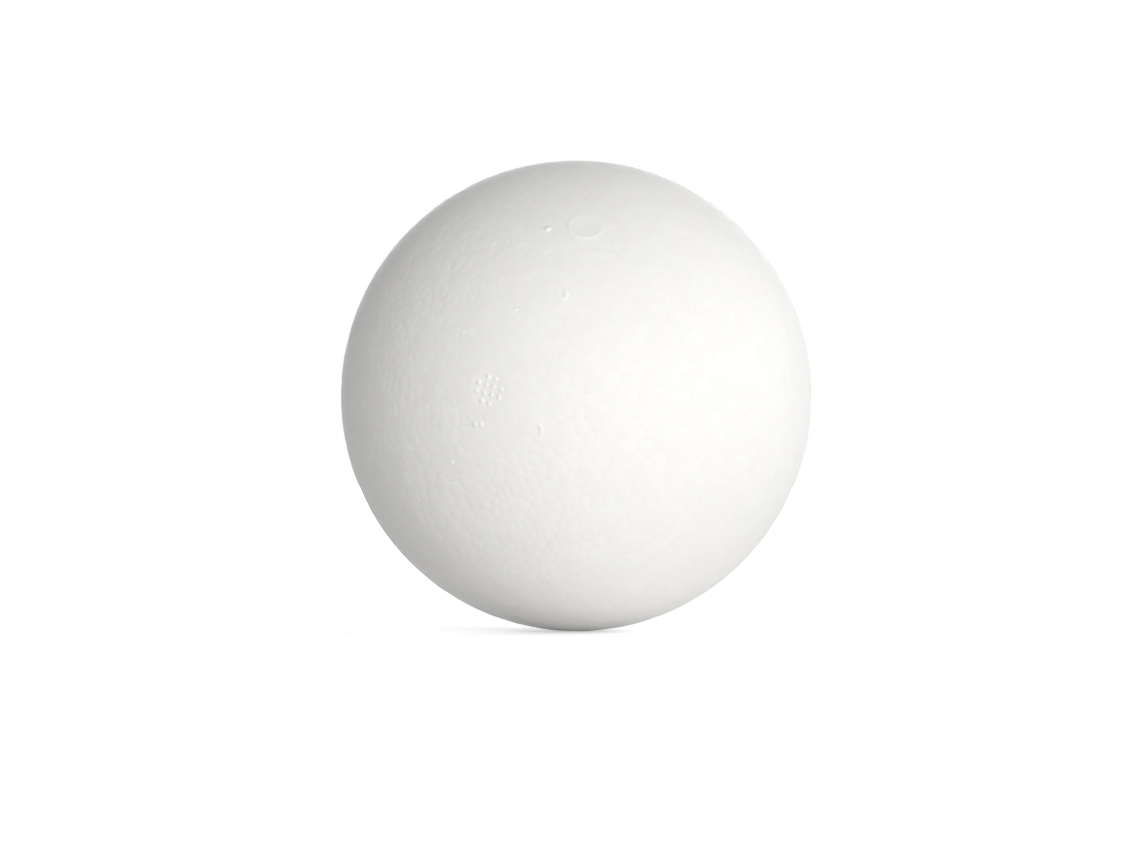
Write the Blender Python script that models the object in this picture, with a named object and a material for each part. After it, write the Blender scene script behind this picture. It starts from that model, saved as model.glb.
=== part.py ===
"""A moulded polystyrene craft ball, 100 mm across.

The ball is one solid piece of fused beads, blown in a two-part steam mould.
The mould has left its marks on it: a fine seam where the two halves met, the
print of a steam vent with a nub at each of its holes, and the ringed print of
the filler's plunger. The origin is the ball's centre. The mould opened along
the Y axis, so the seam lies in the XZ plane, and both prints are on the -Y
half. Sizes are in metres.
"""

import bmesh
import bpy
from math import cos, floor, hypot, pi, radians, sin, sqrt
from mathutils import Matrix, Vector

# The ball
BALL_DIAMETER = 0.100
BALL_SEGMENTS = 72  # round the mould's axis
BALL_RINGS = 36  # from pole to pole

# The seam where the mould's halves met
SEAM_WIDTH = 0.0008
SEAM_HEIGHT = 0.00012

# The print of the steam vent
VENT_DIAMETER = 0.0084
VENT_STEP = 0.00005  # how far its edge stands proud of the ball
VENT_AZIMUTH = radians(-20.9)  # from the front, towards +X
VENT_ELEVATION = radians(1.4)

# The nubs that foam pressed into the vent's holes
NUB_PITCH = 0.0017
NUB_DIAMETER = 0.0009
NUB_TIP_DIAMETER = 0.00055
NUB_HEIGHT = 0.0003
NUB_MARGIN = 0.0004  # from a nub's foot to the print's edge
NUB_ROWS_TURN = radians(-16)
NUB_SIDES = 10

# Two stray nubs below the vent, in degrees from the front and up
STRAY_NUB_PLACES = ((-24.5, -6.6), (-23.0, -6.6))

# The print of the filler's plunger, with the ring of its gap
FILLER_DIAMETER = 0.0075
FILLER_STEP = 0.00005
FILLER_AZIMUTH = radians(2.9)
FILLER_ELEVATION = radians(44.2)
FILLER_RING_WIDTH = 0.00055
FILLER_RING_HEIGHT = 0.00018

# The larger nub of a lone steam pin beside it
PIN_DIAMETER = 0.0016
PIN_TIP_DIAMETER = 0.0009
PIN_HEIGHT = 0.0004
PIN_AZIMUTH = radians(-9.2)
PIN_ELEVATION = radians(43.3)

PRINT_SIDES = 48
PRINT_ROOT = 0.001  # how deep the prints start inside the foam
NUB_ROOT = 0.00025  # and the nubs
CUT_CLEARANCE = 0.0001  # keeps the cutters off the faces of the prints

FOAM_COLOUR = (0.90, 0.90, 0.885, 1.0)
FOAM_ROUGHNESS = 0.62


def clear_scene():
    """Remove every object that the file was opened with."""
    for old in list(bpy.data.objects):
        bpy.data.objects.remove(old, do_unlink=True)


def add_object(name, bm):
    """Turn a bmesh into a named object in the scene."""
    bmesh.ops.recalc_face_normals(bm, faces=bm.faces)
    mesh = bpy.data.meshes.new(name)
    bm.to_mesh(mesh)
    bm.free()
    obj = bpy.data.objects.new(name, mesh)
    bpy.context.scene.collection.objects.link(obj)
    return obj


def foam_material():
    """White bead foam, with the dull sheen of the mould's face."""
    foam = bpy.data.materials.new("white_foam")
    foam.use_nodes = True
    shader = foam.node_tree.nodes["Principled BSDF"]
    shader.inputs["Base Color"].default_value = FOAM_COLOUR
    shader.inputs["Roughness"].default_value = FOAM_ROUGHNESS
    shader.inputs["Metallic"].default_value = 0.0
    return foam


def spin_profile(bm, points, sides, axis):
    """Revolve a profile of points round an axis through the origin."""
    verts = [bm.verts.new(point) for point in points]
    edges = [bm.edges.new(pair) for pair in zip(verts, verts[1:])]
    bmesh.ops.spin(
        bm,
        geom=verts + edges,
        cent=(0.0, 0.0, 0.0),
        axis=axis,
        angle=2.0 * pi,
        steps=sides,
        use_merge=True,
    )
    bmesh.ops.remove_doubles(bm, verts=bm.verts, dist=1e-7)


def ball_profile():
    """Half the ball's outline, from the -Y pole to the +Y pole over the seam."""
    radius = BALL_DIAMETER / 2
    seam_edge = SEAM_WIDTH / 2 / radius
    quarter = BALL_RINGS // 2
    rising = [seam_edge + (pi / 2 - seam_edge) * i / quarter for i in range(quarter + 1)]
    front = [(radius * cos(a), -radius * sin(a), 0.0) for a in reversed(rising)]
    back = [(radius * cos(a), radius * sin(a), 0.0) for a in rising]
    front[0] = (0.0, -radius, 0.0)
    back[-1] = (0.0, radius, 0.0)
    return front + [(radius + SEAM_HEIGHT, 0.0, 0.0)] + back


def facing(azimuth, elevation):
    """The frame of a print: its Z points out of the ball, and its Y is upward."""
    outward = Vector((
        sin(azimuth) * cos(elevation),
        -cos(azimuth) * cos(elevation),
        sin(elevation),
    ))
    across = Vector((0.0, 0.0, 1.0)).cross(outward).normalized()
    upward = outward.cross(across)
    return Matrix((across, upward, outward)).transposed().to_4x4()


def print_face(diameter, step):
    """How far from the ball's centre the flat face of a print lies."""
    return sqrt((BALL_DIAMETER / 2) ** 2 - (diameter / 2) ** 2) + step


def add_turned(bm, profile, sides, place):
    """Add a shape turned round its own Z axis, at a given place."""
    turned = bmesh.new()
    spin_profile(turned, [(r, 0.0, z) for r, z in profile], sides, (0.0, 0.0, 1.0))
    bmesh.ops.transform(turned, matrix=place, verts=turned.verts)
    mesh = bpy.data.meshes.new("turned")
    turned.to_mesh(mesh)
    turned.free()
    bm.from_mesh(mesh)
    bpy.data.meshes.remove(mesh)


def add_clearing(bm, diameter, step, place):
    """The cutter that takes the ball's crown away from under a print."""
    radius = diameter / 2 - CUT_CLEARANCE
    bottom = print_face(diameter, step) - CUT_CLEARANCE
    top = BALL_DIAMETER / 2 + PRINT_ROOT
    profile = [(0.0, bottom), (radius, bottom), (radius, top), (0.0, top)]
    add_turned(bm, profile, PRINT_SIDES, place)


def add_vent_print(bm, place):
    """The flat round print of the vent."""
    radius = VENT_DIAMETER / 2
    top = print_face(VENT_DIAMETER, VENT_STEP)
    bottom = top - PRINT_ROOT
    profile = [(0.0, bottom), (radius, bottom), (radius, top), (0.0, top)]
    add_turned(bm, profile, PRINT_SIDES, place)


def add_filler_print(bm, place):
    """The plunger's flat print, with the low ring that its gap has left."""
    radius = FILLER_DIAMETER / 2
    inner = radius - FILLER_RING_WIDTH
    face = print_face(FILLER_DIAMETER, FILLER_STEP)
    crest = face + FILLER_RING_HEIGHT
    bottom = face - PRINT_ROOT
    profile = [
        (0.0, bottom),
        (radius, bottom),
        (radius, face),
        (radius - FILLER_RING_WIDTH / 4, crest),
        (inner + FILLER_RING_WIDTH / 4, crest),
        (inner, face),
        (0.0, face),
    ]
    add_turned(bm, profile, PRINT_SIDES, place)


def nub_centres():
    """The vent's holes: a square grid, as far out as a whole nub still fits."""
    reach = VENT_DIAMETER / 2 - NUB_DIAMETER / 2 - NUB_MARGIN
    count = floor(reach / NUB_PITCH) + 1
    places = []
    for row in range(-count, count):
        for column in range(-count, count):
            x = (column + 0.5) * NUB_PITCH
            y = (row + 0.5) * NUB_PITCH
            if hypot(x, y) <= reach:
                places.append((x, y))
    return places


def add_nub(bm, diameter, tip_diameter, face, height, place):
    """One low blunt cone, rising from a face at a given distance from the centre."""
    foot = diameter / 2
    tip = tip_diameter / 2
    root = foot + (foot - tip) * NUB_ROOT / height
    top = face + height
    bottom = face - NUB_ROOT
    profile = [(0.0, bottom), (root, bottom), (tip, top), (0.0, top)]
    add_turned(bm, profile, NUB_SIDES, place)


def add_vent_nubs(bm, place):
    """One nub for each hole of the vent."""
    face = print_face(VENT_DIAMETER, VENT_STEP)
    turn = Matrix.Rotation(NUB_ROWS_TURN, 4, "Z")
    for x, y in nub_centres():
        spot = place @ turn @ Matrix.Translation((x, y, 0.0))
        add_nub(bm, NUB_DIAMETER, NUB_TIP_DIAMETER, face, NUB_HEIGHT, spot)


def add_lone_nubs(bm):
    """The two stray nubs and the steam pin's nub, straight out of the ball."""
    radius = BALL_DIAMETER / 2
    for azimuth, elevation in STRAY_NUB_PLACES:
        spot = facing(radians(azimuth), radians(elevation))
        add_nub(bm, NUB_DIAMETER, NUB_TIP_DIAMETER, radius, NUB_HEIGHT, spot)
    spot = facing(PIN_AZIMUTH, PIN_ELEVATION)
    add_nub(bm, PIN_DIAMETER, PIN_TIP_DIAMETER, radius, PIN_HEIGHT, spot)


def boolean(target, operand, operation):
    """Cut or join with an operand, which is then only a guide."""
    operand.hide_render = True
    operand.display_type = "WIRE"
    step = target.modifiers.new(operand.name, "BOOLEAN")
    step.operation = operation
    step.solver = "EXACT"
    step.object = operand


def bake_modifiers(obj):
    """Keep the result of the modifiers, and drop the guides they used."""
    guides = [step.object for step in obj.modifiers]
    depsgraph = bpy.context.evaluated_depsgraph_get()
    result = bpy.data.meshes.new_from_object(obj.evaluated_get(depsgraph))
    obj.modifiers.clear()
    obj.data = result
    for guide in guides:
        bpy.data.objects.remove(guide, do_unlink=True)


def build_ball():
    """The whole ball: its sphere, seam, vent print with nubs, and filler print."""
    vent = facing(VENT_AZIMUTH, VENT_ELEVATION)
    filler = facing(FILLER_AZIMUTH, FILLER_ELEVATION)

    sphere = bmesh.new()
    spin_profile(sphere, ball_profile(), BALL_SEGMENTS, (0.0, 1.0, 0.0))
    ball = add_object("foam_ball", sphere)

    clearings = bmesh.new()
    add_clearing(clearings, VENT_DIAMETER, VENT_STEP, vent)
    add_clearing(clearings, FILLER_DIAMETER, FILLER_STEP, filler)
    boolean(ball, add_object("crown_cutters", clearings), "DIFFERENCE")

    prints = bmesh.new()
    add_vent_print(prints, vent)
    add_filler_print(prints, filler)
    boolean(ball, add_object("mould_prints", prints), "UNION")

    nubs = bmesh.new()
    add_vent_nubs(nubs, vent)
    add_lone_nubs(nubs)
    boolean(ball, add_object("steam_nubs", nubs), "UNION")

    bake_modifiers(ball)
    ball.data.name = "foam_ball"
    ball.data.shade_smooth()
    ball.data.set_sharp_from_angle(angle=radians(20))
    ball.data.materials.clear()
    ball.data.materials.append(foam_material())
    return ball


clear_scene()
build_ball()
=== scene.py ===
"""The looks of a moulded polystyrene craft ball: its beads, mould marks, foam and light."""

from math import atan2, cos, floor, hypot, pi, radians, sin, sqrt

import bmesh
import bpy
import numpy as np
from mathutils import Matrix, Vector, kdtree, noise


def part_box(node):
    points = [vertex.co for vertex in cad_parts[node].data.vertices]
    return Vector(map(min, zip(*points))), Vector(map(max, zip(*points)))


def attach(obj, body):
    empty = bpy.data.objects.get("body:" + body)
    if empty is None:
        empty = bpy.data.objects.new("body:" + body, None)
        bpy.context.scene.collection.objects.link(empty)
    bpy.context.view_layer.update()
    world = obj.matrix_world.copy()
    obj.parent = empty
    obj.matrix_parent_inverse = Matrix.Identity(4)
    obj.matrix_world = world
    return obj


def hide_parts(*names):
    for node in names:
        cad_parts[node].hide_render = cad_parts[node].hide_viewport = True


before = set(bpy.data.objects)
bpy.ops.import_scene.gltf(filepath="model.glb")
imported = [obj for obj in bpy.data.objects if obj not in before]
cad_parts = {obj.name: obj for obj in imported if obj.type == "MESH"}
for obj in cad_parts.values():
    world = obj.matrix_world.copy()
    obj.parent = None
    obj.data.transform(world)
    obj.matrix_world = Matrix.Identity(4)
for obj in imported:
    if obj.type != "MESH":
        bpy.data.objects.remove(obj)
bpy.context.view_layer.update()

# The beads. The ball is blown from thousands of small pre-foamed beads, which
# swell in the steam mould until their sides meet. Each shows at the surface as
# one low-domed cell, and the cells are laid out as an even random scatter.
box_low, box_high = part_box("foam_ball")
BALL_RADIUS = (box_high[1] - box_low[1]) / 2
BEAD_PITCH = 0.0027
BEAD_SEED = 11
SPREADING_ROUNDS = 3
TURNING_ROUNDS = 6
SHORTEST_WALL = 0.00015

chance = np.random.default_rng(BEAD_SEED)
bead_area = BEAD_PITCH**2 * sqrt(3) / 2
bead_count = round(4 * pi * BALL_RADIUS**2 / bead_area)


def hull_round(directions):
    """Join neighbouring directions into triangles, as a hull on the unit sphere.

    The hull operator is too coarse for points this close together, so the edges
    that it leaves sunken are turned.
    """
    hull = bmesh.new()
    for direction in directions:
        hull.verts.new(direction)
    bmesh.ops.convex_hull(hull, input=hull.verts)
    loose = [bead for bead in hull.verts if not bead.link_faces]
    bmesh.ops.delete(hull, geom=loose, context="VERTS")
    hull.normal_update()
    for _ in range(TURNING_ROUNDS):
        for edge in [edge for edge in hull.edges if not edge.is_convex]:
            if edge.is_valid and not edge.is_convex:
                turned = bmesh.utils.edge_rotate(edge)
                for face in turned.link_faces if turned else ():
                    face.normal_update()
    hull.verts.index_update()
    hull.faces.index_update()
    return hull


def corners_round(bead):
    """The hull triangles round a bead, anticlockwise: their normals are its corners."""
    outward = bead.co.normalized()
    across = outward.orthogonal().normalized()
    upward = outward.cross(across)
    return sorted(
        bead.link_faces,
        key=lambda corner: atan2(corner.normal.dot(upward), corner.normal.dot(across)),
    )


scatter = chance.normal(size=(bead_count, 3))
bead_directions = [Vector(spot).normalized() for spot in scatter]
for _ in range(SPREADING_ROUNDS):
    hull = hull_round(bead_directions)
    bead_directions = [
        sum((corner.normal for corner in bead.link_faces), Vector()).normalized()
        for bead in hull.verts
    ]
    hull.free()

hull = hull_round(bead_directions)
bead_directions = [bead.co.normalized() for bead in hull.verts]
ball = bmesh.new()
own_bead = ball.faces.layers.int.new("own_bead")
corner_verts = [ball.verts.new(corner.normal * BALL_RADIUS) for corner in hull.faces]
for bead in hull.verts:
    cell = ball.faces.new([corner_verts[corner.index] for corner in corners_round(bead)])
    cell[own_bead] = bead.index
hull.free()
bmesh.ops.remove_doubles(ball, verts=ball.verts, dist=SHORTEST_WALL)

# The skin of each bead. From the wall it shares with its neighbours it rises
# out of a fine groove over a rounded shoulder to a low dome.
GROOVE_SIDE = 0.00013
SHOULDER = 0.00036


def add_bead_skin(cell, centre):
    """Fill one cell with two rings and a hub, and mark each face as its bead's."""
    outline = list(cell.verts)
    rings = [outline]
    for inset in (GROOVE_SIDE, SHOULDER):
        ring = []
        for corner in outline:
            inward = centre - corner.co
            step = min(inset, inward.length * inset / (inset + SHOULDER))
            ring.append(ball.verts.new(corner.co + inward.normalized() * step))
        rings.append(ring)
    hub = ball.verts.new(centre)
    skin = []
    for i in range(len(outline)):
        j = (i + 1) % len(outline)
        for outer, inner in zip(rings, rings[1:]):
            skin.append(ball.faces.new((outer[i], outer[j], inner[j], inner[i])))
        skin.append(ball.faces.new((rings[-1][i], rings[-1][j], hub)))
    for face in skin:
        face[own_bead] = cell[own_bead]


cells = list(ball.faces)
for cell in cells:
    add_bead_skin(cell, bead_directions[cell[own_bead]] * BALL_RADIUS)
bmesh.ops.delete(ball, geom=cells, context="FACES_ONLY")
bmesh.ops.triangulate(ball, faces=ball.faces)

# The print of the steam vent. The mould's vent has pressed a flat round print,
# and the swelling foam has run into each of its holes, which leaves a nub there.
# Two stray holes below it have left a nub each.
VENT_DIAMETER = 0.0086
VENT_STEP = 0.00002  # how far its edge stands proud of the ball
VENT_PLACE = (-20.9, 1.4)  # in degrees from the front, to the right and up
NUB_PITCH = 0.0017
NUB_DIAMETER = 0.0013
NUB_TIP_DIAMETER = 0.0004
NUB_HEIGHT = 0.0002
NUB_SPREAD = (0.7, 1.2)
NUB_MARGIN = 0.0004  # from a nub's foot to the print's edge
NUB_ROWS_TURN = radians(-16)
STRAY_NUB_PLACES = ((-24.5, -6.6), (-23.0, -6.6))


def facing(place):
    """The frame of a mark, given in degrees from the front and up: Z points outward."""
    azimuth, elevation = (radians(angle) for angle in place)
    outward = Vector((
        sin(azimuth) * cos(elevation),
        -cos(azimuth) * cos(elevation),
        sin(elevation),
    ))
    across = Vector((0.0, 0.0, 1.0)).cross(outward).normalized()
    return Matrix((across, outward.cross(across), outward)).transposed()


vent = facing(VENT_PLACE)
nub_directions = []
nub_reach = VENT_DIAMETER / 2 - NUB_DIAMETER / 2 - NUB_MARGIN
nub_rows = floor(nub_reach / NUB_PITCH) + 1
rows_turn = Matrix.Rotation(NUB_ROWS_TURN, 3, "Z")
for row in range(-nub_rows, nub_rows):
    for column in range(-nub_rows, nub_rows):
        hole = Vector(((column + 0.5) * NUB_PITCH, (row + 0.5) * NUB_PITCH, BALL_RADIUS))
        if hypot(hole.x, hole.y) <= nub_reach:
            nub_directions.append((vent @ rows_turn @ hole).normalized())
nub_directions += [facing(place).col[2] for place in STRAY_NUB_PLACES]

# The print of the filler. Beads are blown in through a hole that a plunger then
# shuts. Its face leaves a shallow dish, and the gap round it a low ring, which
# stands higher at its lower left and fades out on the other side.
FILLER_DIAMETER = 0.0075
FILLER_STEP = 0.00002
FILLER_PLACE = (2.9, 44.2)
FILLER_RING_WIDTH = 0.0009
FILLER_RING_FADE = 0.00135  # how softly the ring runs down into the dish
FILLER_RING_HEIGHT = 0.00009
FILLER_RING_LEAN = (-0.45, -0.75)  # how much it gains in height, to the right and up
FILLER_DISH = 0.00005

filler = facing(FILLER_PLACE)

# The small marks. A lone steam pin has left the largest nub. Foam that ran into
# pinholes of the mould stands up as specks, and two beads have a lifted edge.
PIN_DIAMETER = 0.0019
PIN_TIP_DIAMETER = 0.000475
PIN_HEIGHT = 0.00036
PIN_PLACE = (-9.2, 43.3)
SPECK_DIAMETER = 0.0011
SPECK_TIP_DIAMETER = 0.000275
SPECK_HEIGHT = 0.00015
SPECK_SPREAD = (0.7, 1.3)
SPECK_PLACES = (
    (-28.6, 14.9), (-10.6, -49.0), (-31.9, -15.9), (-52.2, -62.4),
    (-15.2, 20.7), (-26.1, 38.9), (-25.7, -5.3),
)
LIFTED_EDGE_LENGTH = 0.0028
LIFTED_EDGE_WIDTH = 0.0009
LIFTED_EDGE_HEIGHT = 0.0002
LIFTED_EDGE_BEND = 0.0022
LIFTED_EDGE_PLACES = ((-2.6, 24.5), (-8.3, -7.9))

# The seam. The two halves of the mould met in a plane through the ball's centre,
# and have left a fine low ridge in the foam all the way round.
SEAM_WIDTH = 0.0008
SEAM_HEIGHT = 0.00006

# The mesh for these marks. It is made finer where they lie, by halving the
# longest edges until none is too long, and it is cut along the seam.
FINE_EDGE = 0.0003
FINE_SHARE = 0.6  # of a mark's width, from its middle
FINE_MARGIN = 0.0003
FINE_ROUNDS = 16
CUT_TOLERANCE = 1e-5

fine_spots = [(vent.col[2], VENT_DIAMETER), (filler.col[2], FILLER_DIAMETER)]
for places, width in (
    (STRAY_NUB_PLACES, NUB_DIAMETER),
    ((PIN_PLACE,), PIN_DIAMETER),
    (SPECK_PLACES, SPECK_DIAMETER),
    (LIFTED_EDGE_PLACES, LIFTED_EDGE_LENGTH),
):
    fine_spots += [(facing(place).col[2], width) for place in places]
spot_centres = np.array([direction * BALL_RADIUS for direction, _ in fine_spots])
spot_reaches = np.array([width * FINE_SHARE + FINE_MARGIN for _, width in fine_spots])
corners = np.array([vert.co for vert in ball.verts])
gaps = np.linalg.norm(corners[:, None, :] - spot_centres[None, :, :], axis=2)
near_mark = (gaps < spot_reaches).any(axis=1)
ball.verts.index_update()
fine = ball.faces.layers.int.new("fine")
for face in ball.faces:
    face[fine] = int(any(near_mark[vert.index] for vert in face.verts))


def edge_rank(edge):
    """Longer edges rank higher, and no two edges rank the same."""
    return edge.calc_length(), edge.index


def edge_to_halve(face):
    """Go on over ever longer sides, to an edge that is the longest of both its triangles."""
    edge = max(face.edges, key=edge_rank)
    while True:
        longest = max((side for beside in edge.link_faces for side in beside.edges), key=edge_rank)
        if longest == edge:
            return edge
        edge = longest


for _ in range(FINE_ROUNDS):
    ball.edges.index_update()
    coarse = [
        face for face in ball.faces
        if face[fine] and max(edge.calc_length() for edge in face.edges) > FINE_EDGE
    ]
    halved = sorted({edge_to_halve(face) for face in coarse}, key=edge_rank)
    if halved:
        bmesh.ops.subdivide_edges(ball, edges=halved, cuts=1, use_single_edge=True)

for offset in (-SEAM_WIDTH / 2, 0.0, SEAM_WIDTH / 2):
    bmesh.ops.bisect_plane(
        ball,
        geom=ball.verts[:] + ball.edges[:] + ball.faces[:],
        dist=CUT_TOLERANCE,
        plane_co=(0.0, offset, 0.0),
        plane_no=(0.0, 1.0, 0.0),
    )
bmesh.ops.triangulate(ball, faces=[face for face in ball.faces if len(face.verts) > 3])

# The surface of the beads: how far each point of it stands off the true sphere.
# A bead is a low dome in its groove, a little high, low or tilted, and the whole
# skin waves slightly, because foam doesn't shrink evenly as it cools.
MEETING_BEADS = 3  # at each corner of a cell
GROOVE_DEPTH = 0.00001
GROOVE_WIDTH = 0.00013
JUNCTION_DEPTH = 0.000016
JUNCTION_WIDTH = 0.00022
DOME_HEIGHT = 0.00001
DOME_SPREAD = (0.5, 1.5)
DOME_RISE = 0.0008
BEAD_LIFT = 0.000004
BEAD_TILT = 0.0042
BEAD_BLEND = 0.0004
WAVE_HEIGHT = 0.00008
WAVE_LENGTH = 0.0042


def rise(value, low, high):
    """A smooth step from 0 at low to 1 at high."""
    share = np.clip((value - low) / (high - low), 0.0, 1.0)
    return share * share * (3.0 - 2.0 * share)


ball.verts.index_update()
directions = np.array([vert.co.normalized() for vert in ball.verts])
bead_tree = kdtree.KDTree(len(bead_directions))
for index, direction in enumerate(bead_directions):
    bead_tree.insert(direction, index)
bead_tree.balance()
nearest = np.array([
    [index for _, index, _ in bead_tree.find_n(direction, MEETING_BEADS)]
    for direction in directions
])
beads = np.array(bead_directions)
own, second, third = (beads[nearest[:, rank]] for rank in range(MEETING_BEADS))


def wall_distance(other):
    """How far each point lies inside the wall between its own bead and another."""
    across = own - other
    return BALL_RADIUS * (directions * across).sum(1) / np.linalg.norm(across, axis=1)


from_wall = wall_distance(second)
from_junction = np.maximum(from_wall, wall_distance(third))
groove = np.exp(-((from_wall / GROOVE_WIDTH) ** 2))
junction = np.exp(-((from_junction / JUNCTION_WIDTH) ** 2))
dome = 1.0 - np.exp(-from_wall / DOME_RISE)
blend = 1.0 - np.exp(-from_wall / BEAD_BLEND)

bead_lift = chance.normal(size=len(beads)) * BEAD_LIFT
bead_tilt = chance.normal(size=(len(beads), 3)) * BEAD_TILT
bead_dome = chance.uniform(*DOME_SPREAD, size=len(beads)) * DOME_HEIGHT
own_index = nearest[:, 0]
lean = BALL_RADIUS * ((directions - own) * bead_tilt[own_index]).sum(1)
wave = np.array([
    noise.noise(Vector(direction) * (BALL_RADIUS / WAVE_LENGTH)) for direction in directions
])

texture = bead_dome[own_index] * dome + (bead_lift[own_index] + lean) * blend
texture -= GROOVE_DEPTH * groove + JUNCTION_DEPTH * junction

# The two prints, pressed into that surface. The wave dies out towards them, and
# inside them the foam lies flat, with only a share of the beads' own texture.
PRESSED_SHARE = 0.45  # of the beads' texture, which is left inside a print
EDGE_SOFTNESS = 0.00018
LEAST_COSINE = 0.5  # keeps the far side of the ball out of the division

prints = ((vent, VENT_DIAMETER, VENT_STEP), (filler, FILLER_DIAMETER, FILLER_STEP))


def off_axis(outward):
    """The cosine from a mark's axis, and the distance from that axis."""
    cosine = directions @ np.array(outward)
    return cosine, BALL_RADIUS * np.sqrt(np.clip(1.0 - cosine**2, 0.0, None))


def print_cover(mark, diameter):
    """1 inside a round print and 0 outside it, with a soft edge."""
    cosine, away = off_axis(mark.col[2])
    cover = 1.0 - rise(away, diameter / 2 - EDGE_SOFTNESS, diameter / 2 + EDGE_SOFTNESS)
    return cover * (cosine > 0.0)


for mark, diameter, _ in prints:
    wave *= rise(off_axis(mark.col[2])[1], diameter / 2, diameter)
height = texture + WAVE_HEIGHT * wave
for mark, diameter, step in prints:
    face_distance = sqrt(BALL_RADIUS**2 - (diameter / 2) ** 2) + step
    flat = face_distance / np.maximum(off_axis(mark.col[2])[0], LEAST_COSINE) - BALL_RADIUS
    cover = print_cover(mark, diameter)
    height = height * (1.0 - cover) + (flat + PRESSED_SHARE * texture) * cover

cosine, from_filler = off_axis(filler.col[2])
ring_middle = (FILLER_DIAMETER - FILLER_RING_WIDTH) / 2
ring_side = np.where(from_filler > ring_middle, FILLER_RING_WIDTH / 2, FILLER_RING_FADE)
gap_ring = np.exp(-(((from_filler - ring_middle) / ring_side) ** 2)) * (cosine > 0.0)
rightward, upward = (BALL_RADIUS * (directions @ np.array(filler.col[axis])) for axis in (0, 1))
uphill = FILLER_RING_LEAN[0] * rightward + FILLER_RING_LEAN[1] * upward
gap_ring *= 1.0 + uphill / np.maximum(from_filler, FILLER_RING_WIDTH)
dish = np.clip(1.0 - (from_filler / ring_middle) ** 2, 0.0, None)
dish *= print_cover(filler, FILLER_DIAMETER)
height = height + FILLER_RING_HEIGHT * gap_ring - FILLER_DISH * dish

# The raised marks: the nubs, the specks, the lifted edges and the seam, which
# stand on that surface.


def blunt_nub(outward, diameter, tip_diameter, tall):
    """How much one blunt nub adds to the height."""
    cosine, away = off_axis(outward)
    return (1.0 - rise(away, tip_diameter / 2, diameter / 2)) * tall * (cosine > 0.0)


for outward in nub_directions:
    tall = NUB_HEIGHT * chance.uniform(*NUB_SPREAD)
    height = height + blunt_nub(outward, NUB_DIAMETER, NUB_TIP_DIAMETER, tall)
height = height + blunt_nub(facing(PIN_PLACE).col[2], PIN_DIAMETER, PIN_TIP_DIAMETER, PIN_HEIGHT)
for place in SPECK_PLACES:
    tall = SPECK_HEIGHT * chance.uniform(*SPECK_SPREAD)
    height = height + blunt_nub(facing(place).col[2], SPECK_DIAMETER, SPECK_TIP_DIAMETER, tall)
for place in LIFTED_EDGE_PLACES:
    local = BALL_RADIUS * (directions @ np.array(facing(place)))
    aside = local[:, 0] + local[:, 1] ** 2 / (2 * LIFTED_EDGE_BEND)
    along = 1.0 - rise(np.abs(local[:, 1]), LIFTED_EDGE_LENGTH / 4, LIFTED_EDGE_LENGTH / 2)
    lifted = np.exp(-((aside / (LIFTED_EDGE_WIDTH / 2)) ** 2)) * along * (local[:, 2] > 0.0)
    height = height + LIFTED_EDGE_HEIGHT * lifted

from_seam = np.abs(directions[:, 1]) * BALL_RADIUS
seam = np.clip(1.0 - from_seam / (SEAM_WIDTH / 2), 0.0, 1.0)
height = height + SEAM_HEIGHT * seam

wall_layer = ball.verts.layers.float.new("wall")
tone_layer = ball.faces.layers.float.new("bead_tone")
bead_tone = chance.uniform(0.0, 1.0, size=len(beads))
for vert, direction, tall, wall in zip(ball.verts, directions, height, groove):
    vert.co = Vector(direction) * (BALL_RADIUS + tall)
    vert[wall_layer] = wall
for face in ball.faces:
    face[tone_layer] = bead_tone[face[own_bead]]
    face.smooth = True

skin_mesh = bpy.data.meshes.new("foam_skin")
ball.to_mesh(skin_mesh)
ball.free()
foam_skin = bpy.data.objects.new("foam_skin", skin_mesh)
bpy.context.scene.collection.objects.link(foam_skin)

# The foam's finish. White polystyrene foam with a dull sheen: hardly any colour
# of its own, a little greyer in the walls between beads, and a cell pattern
# much finer than a bead.
FOAM_WHITE = (0.905, 0.895, 0.875, 1.0)
WALL_WHITE = (0.889, 0.879, 0.859, 1.0)
TONE_SPREAD = 0.008
FOAM_ROUGHNESS = 0.58
FOAM_SHEEN_LEVEL = 0.15
GLOW_SHARE = 0.5
GLOW_DEPTH = 0.0008
GLOW_TINT = (1.0, 0.95, 0.85)
CELL_SIZE = 0.00016
CELL_DEPTH = 0.000006

foam = bpy.data.materials.new("white_foam")
foam.use_nodes = True
nodes = foam.node_tree.nodes
links = foam.node_tree.links
shader = nodes["Principled BSDF"]
shader.inputs["Roughness"].default_value = FOAM_ROUGHNESS
shader.inputs["Specular IOR Level"].default_value = FOAM_SHEEN_LEVEL
shader.inputs["Subsurface Weight"].default_value = GLOW_SHARE
shader.inputs["Subsurface Radius"].default_value = GLOW_TINT
shader.inputs["Subsurface Scale"].default_value = GLOW_DEPTH


def surface_value(name):
    """A value that the mesh carries."""
    reader = nodes.new("ShaderNodeAttribute")
    reader.attribute_name = name
    return reader.outputs["Fac"]


tone = nodes.new("ShaderNodeMapRange")
tone.inputs["To Min"].default_value = 1.0 - TONE_SPREAD
tone.inputs["To Max"].default_value = 1.0 + TONE_SPREAD
links.new(surface_value("bead_tone"), tone.inputs["Value"])

walls = nodes.new("ShaderNodeMix")
walls.data_type = "RGBA"
walls.inputs["A"].default_value = FOAM_WHITE
walls.inputs["B"].default_value = WALL_WHITE
links.new(surface_value("wall"), walls.inputs["Factor"])

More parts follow.
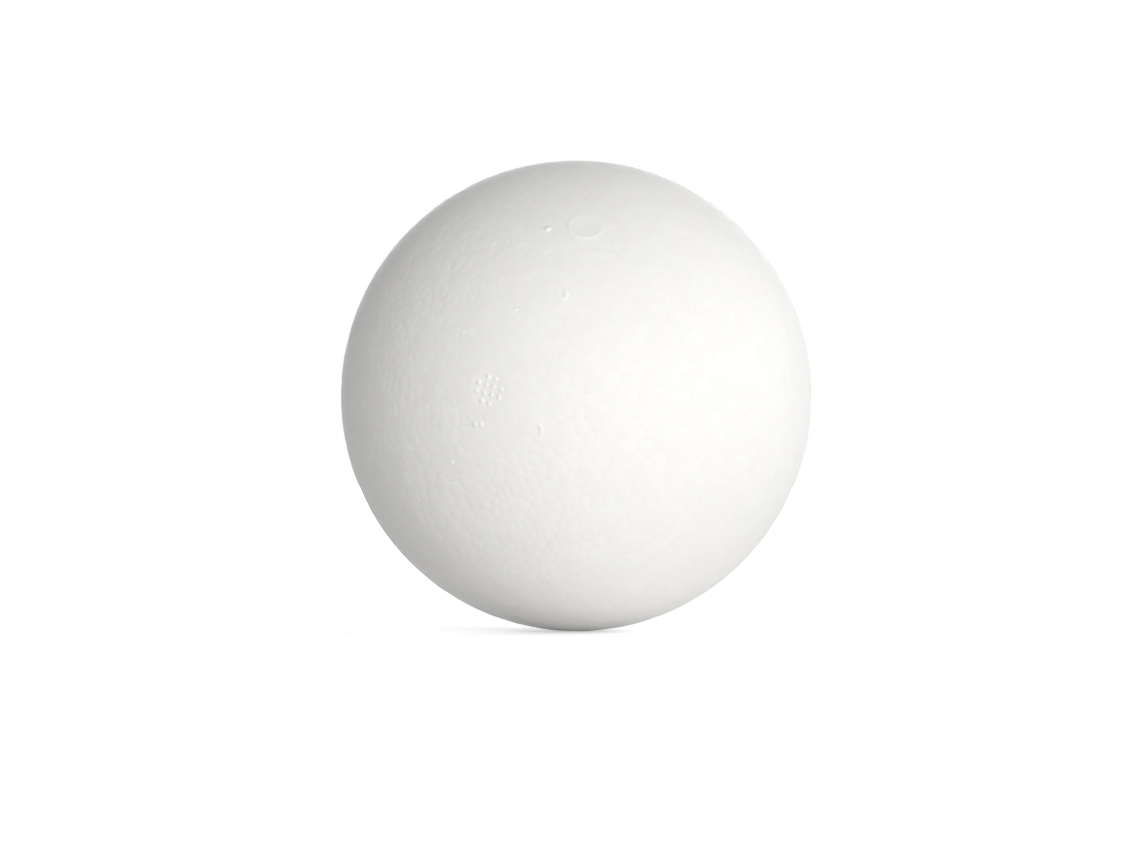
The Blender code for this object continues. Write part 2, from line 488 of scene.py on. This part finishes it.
toned = nodes.new("ShaderNodeMix")
toned.data_type = "RGBA"
toned.blend_type = "MULTIPLY"
toned.inputs["Factor"].default_value = 1.0
links.new(walls.outputs["Result"], toned.inputs["A"])
links.new(tone.outputs["Result"], toned.inputs["B"])
links.new(toned.outputs["Result"], shader.inputs["Base Color"])

foam_spot = nodes.new("ShaderNodeTexCoord")
foam_cells = nodes.new("ShaderNodeTexVoronoi")
foam_cells.inputs["Scale"].default_value = 1.0 / CELL_SIZE
links.new(foam_spot.outputs["Object"], foam_cells.inputs["Vector"])
relief = nodes.new("ShaderNodeBump")
relief.inputs["Distance"].default_value = CELL_DEPTH
links.new(foam_cells.outputs["Distance"], relief.inputs["Height"])
links.new(relief.outputs["Normal"], shader.inputs["Normal"])

skin_mesh.materials.append(foam)
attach(foam_skin, "root")
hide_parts("foam_ball")

# The floor. A wide pale sheet under the ball, which keeps the ball's shadow and
# fades to plain white away from it.
FLOOR_WIDTH = 6.0
FLOOR_COLOUR = (0.93, 0.93, 0.93, 1.0)
NEAR_LIFT = 0.49
FAR_LIFT = 0.76
LIFT_RISE = (0.05, 0.22)  # how far from the ball it begins and ends

floor_low = min(box_low[2], min(vert.co.z for vert in skin_mesh.vertices))
floor_mesh = bpy.data.meshes.new("floor")
sheet = bmesh.new()
bmesh.ops.create_grid(sheet, x_segments=1, y_segments=1, size=FLOOR_WIDTH / 2)
sheet.to_mesh(floor_mesh)
sheet.free()
floor_sheet = bpy.data.objects.new("floor", floor_mesh)
floor_sheet.location = (0.0, 0.0, floor_low)
bpy.context.scene.collection.objects.link(floor_sheet)

floor_paint = bpy.data.materials.new("floor_paint")
floor_paint.use_nodes = True
floor_nodes = floor_paint.node_tree.nodes
floor_links = floor_paint.node_tree.links
floor_shader = floor_nodes["Principled BSDF"]
floor_shader.inputs["Base Color"].default_value = FLOOR_COLOUR
floor_shader.inputs["Roughness"].default_value = 1.0
floor_shader.inputs["Specular IOR Level"].default_value = 0.0


def seen_directly(tree):
    """1 for what the camera sees, itself or in gloss or glass, and 0 for other light."""
    path = tree.nodes.new("ShaderNodeLightPath")
    glossy = tree.nodes.new("ShaderNodeMath")
    glossy.operation = "MAXIMUM"
    tree.links.new(path.outputs["Is Camera Ray"], glossy.inputs[0])
    tree.links.new(path.outputs["Is Glossy Ray"], glossy.inputs[1])
    through = tree.nodes.new("ShaderNodeMath")
    through.operation = "MAXIMUM"
    tree.links.new(glossy.outputs[0], through.inputs[0])
    tree.links.new(path.outputs["Is Transmission Ray"], through.inputs[1])
    return through.outputs[0]


floor_spot = floor_nodes.new("ShaderNodeTexCoord")
from_ball = floor_nodes.new("ShaderNodeVectorMath")
from_ball.operation = "LENGTH"
floor_links.new(floor_spot.outputs["Object"], from_ball.inputs[0])
own_lift = floor_nodes.new("ShaderNodeMapRange")
own_lift.inputs["From Min"].default_value = LIFT_RISE[0]
own_lift.inputs["From Max"].default_value = LIFT_RISE[1]
own_lift.inputs["To Min"].default_value = NEAR_LIFT
own_lift.inputs["To Max"].default_value = FAR_LIFT
floor_links.new(from_ball.outputs["Value"], own_lift.inputs["Value"])

lift = floor_nodes.new("ShaderNodeEmission")
lift_strength = floor_nodes.new("ShaderNodeMath")
lift_strength.operation = "MULTIPLY"
floor_links.new(seen_directly(floor_paint.node_tree), lift_strength.inputs[0])
floor_links.new(own_lift.outputs["Result"], lift_strength.inputs[1])
floor_links.new(lift_strength.outputs[0], lift.inputs["Strength"])
white_floor = floor_nodes.new("ShaderNodeAddShader")
floor_links.new(floor_shader.outputs[0], white_floor.inputs[0])
floor_links.new(lift.outputs[0], white_floor.inputs[1])
floor_links.new(white_floor.outputs[0], floor_nodes["Material Output"].inputs["Surface"])
floor_mesh.materials.append(floor_paint)

# The light. A white room that lights the ball evenly, one large soft lamp low
# to the right of the camera, a weaker one behind the ball's right side, and one
# low behind it, which lights only its back.
ROOM_STRENGTH = 0.33
KEY_POWER = 16.3
KEY_PLACE = (0.542, -1.489, 0.223)
KEY_HEIGHT = 0.42
EDGE_POWER = 6.1
EDGE_PLACE = (1.363, 0.635, 0.547)
EDGE_HEIGHT = 0.9
BACK_POWER = 10.0
BACK_PLACE = (0.0, 1.6, 0.26)
BACK_HEIGHT = 0.5
LAMP_WIDTH = 0.9

room = bpy.data.worlds.new("white_room")
room.use_nodes = True
bpy.context.scene.world = room
room_nodes = room.node_tree.nodes
room_links = room.node_tree.links
room_light = room_nodes["Background"]
room_light.inputs["Color"].default_value = (1.0, 1.0, 1.0, 1.0)
room_strength = room_nodes.new("ShaderNodeMapRange")
room_strength.inputs["To Min"].default_value = ROOM_STRENGTH
room_strength.inputs["To Max"].default_value = 1.0
room_links.new(seen_directly(room.node_tree), room_strength.inputs["Value"])
room_links.new(room_strength.outputs["Result"], room_light.inputs["Strength"])


def soft_lamp(name, spot, lamp_height, power):
    """A wide soft lamp that faces the ball."""
    data = bpy.data.lights.new(name, "AREA")
    data.shape = "RECTANGLE"
    data.size = LAMP_WIDTH
    data.size_y = lamp_height
    data.energy = power
    lamp = bpy.data.objects.new(name, data)
    lamp.location = spot
    lamp.rotation_euler = Vector(spot).to_track_quat("Z", "Y").to_euler()
    lamp.visible_camera = False
    bpy.context.scene.collection.objects.link(lamp)


soft_lamp("key_lamp", KEY_PLACE, KEY_HEIGHT, KEY_POWER)
soft_lamp("edge_lamp", EDGE_PLACE, EDGE_HEIGHT, EDGE_POWER)
soft_lamp("back_lamp", BACK_PLACE, BACK_HEIGHT, BACK_POWER)

# The camera. Level with the ball, with a long lens, and aimed a little below
# and left of its centre, so that the ball lies in the frame as photographed. The
# ball's radius and how far it lies off the middle are in pixels of that frame.
FRAME_WIDTH = 1140
LENS = 150.0
SENSOR_WIDTH = 36.0
BALL_PIXELS = 235.2
BALL_RIGHT = 6.3
BALL_UP = 31.6

pixel_focus = LENS / SENSOR_WIDTH * FRAME_WIDTH
half_angle = atan2(BALL_PIXELS, pixel_focus)
camera_distance = BALL_RADIUS / sin(half_angle)
camera_data = bpy.data.cameras.new("camera")
camera_data.lens = LENS
camera_data.sensor_width = SENSOR_WIDTH
camera = bpy.data.objects.new("camera", camera_data)
camera.location = (0.0, -camera_distance, 0.0)
aim = Vector((-BALL_RIGHT / pixel_focus, 1.0, -BALL_UP / pixel_focus))
camera.rotation_euler = aim.to_track_quat("-Z", "Y").to_euler()
bpy.context.scene.collection.objects.link(camera)
bpy.context.scene.camera = camera
bpy.context.scene.view_settings.view_transform = "Standard"
